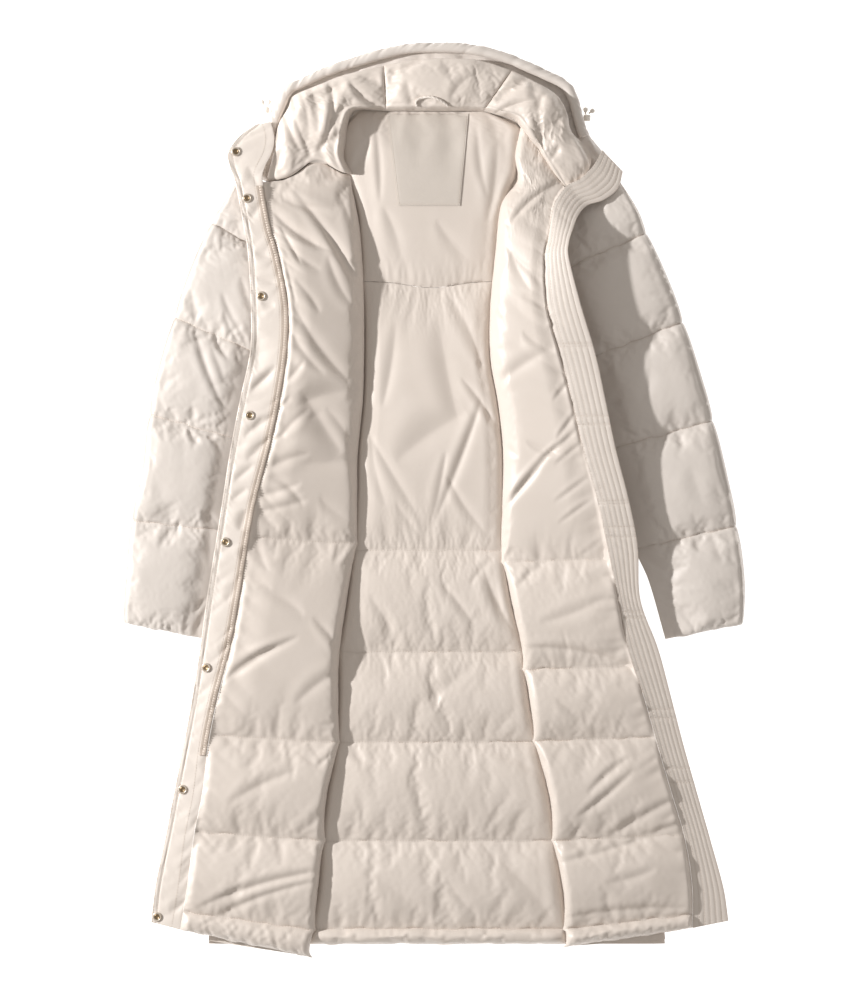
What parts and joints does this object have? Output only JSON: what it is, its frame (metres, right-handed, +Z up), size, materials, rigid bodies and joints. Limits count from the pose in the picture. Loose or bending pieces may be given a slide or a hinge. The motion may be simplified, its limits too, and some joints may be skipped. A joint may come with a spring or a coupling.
{
  "type": "long hooded puffer coat, laid open",
  "caption": "A long hooded puffer coat laid open on its back with its lining up, its fronts folded over beside the back and its sleeves at its sides.",
  "frame": {"origin": "centre of the coat's box at the surface that it lies on", "axes": "+Y from the hem to the hood, +X towards the wearer's left, +Z up from the surface"},
  "size_m": [0.873, 1.2764, 0.0888],
  "materials": {
    "lining": "glossy satin lining, fine plain weave",
    "shell": "satin-matte padded shell cloth",
    "facing": "topstitched facing cloth",
    "zip": "woven zip tape with a dyed coil",
    "snap": "coated press stud with a brass socket",
    "lock": "moulded cord locks and cord ends"
  },
  "bodies": {
    "root": {"back_panel": "lining", "back_yoke": "lining", "front_right": "lining", "front_left": "lining", "placket_right": "facing", "placket_left": "facing", "zip_half": "zip", "sleeve_right": "shell", "sleeve_left": "shell", "hood_side_right": "lining", "hood_centre": "lining", "hood_side_left": "lining", "hood_shell": "shell", "hood_band": "shell", "label_patch": "facing", "hanger_loop": "facing", "snap_1": "snap", "snap_2": "snap", "snap_3": "snap", "snap_4": "snap", "snap_5": "snap", "snap_6": "snap", "snap_7": "snap", "snap_8": "snap", "cord_lock_right": "lock", "cord_end_right_1": "lock", "cord_end_right_2": "lock", "cord_lock_left": "lock", "cord_end_left_1": "lock", "cord_end_left_2": "lock"}
  },
  "joints": []
}
